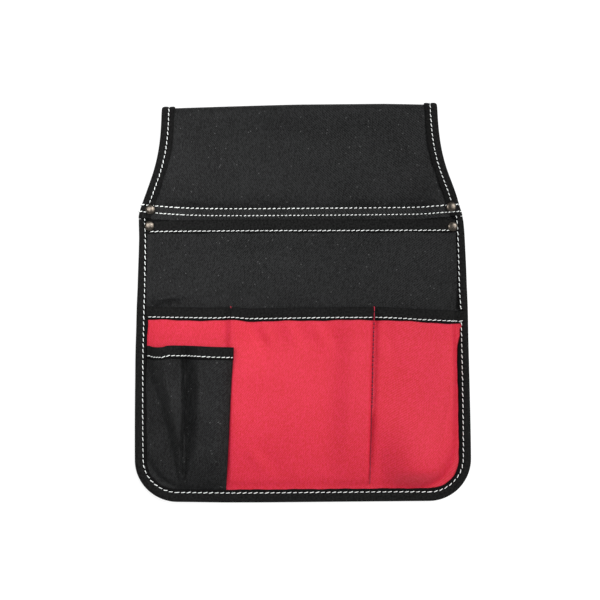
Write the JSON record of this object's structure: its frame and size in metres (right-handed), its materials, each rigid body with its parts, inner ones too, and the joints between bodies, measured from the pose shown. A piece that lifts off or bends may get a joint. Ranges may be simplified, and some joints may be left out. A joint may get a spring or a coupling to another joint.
{
  "type": "waist tool bag",
  "caption": "Flat waist tool bag in black and red canvas: folded belt loop at the top, layered front pockets with taped mouths, a pleated side pocket, taped edges and riveted corners.",
  "frame": {"origin": "on the floor under the middle of the bag's box, with the bag lying on its back", "axes": "+X across the bag to the right as seen from the front, +Y from the base seam to the belt loop, +Z out of the front with the pockets facing up"},
  "size_m": [0.25, 0.297, 0.0336],
  "materials": {
    "black_cloth": "matt black twill canvas",
    "red_cloth": "matt red twill canvas",
    "black_tape": "black woven binding tape",
    "rivet_metal": "aged brass",
    "white_thread": "thick white sewing thread",
    "red_thread": "thick red sewing thread"
  },
  "bodies": {
    "root": {"back_panel": "black_cloth", "main_pocket": "black_cloth", "red_pocket": "red_cloth", "small_pocket": "black_cloth", "main_pocket_binding": "black_tape", "red_pocket_binding": "black_tape", "small_pocket_binding": "black_tape", "edge_binding": "black_tape", "loop_binding_left": "black_tape", "loop_binding_right": "black_tape", "rivet_upper_left": "rivet_metal", "rivet_upper_right": "rivet_metal", "rivet_lower_left": "rivet_metal", "rivet_lower_right": "rivet_metal"}
  },
  "joints": []
}
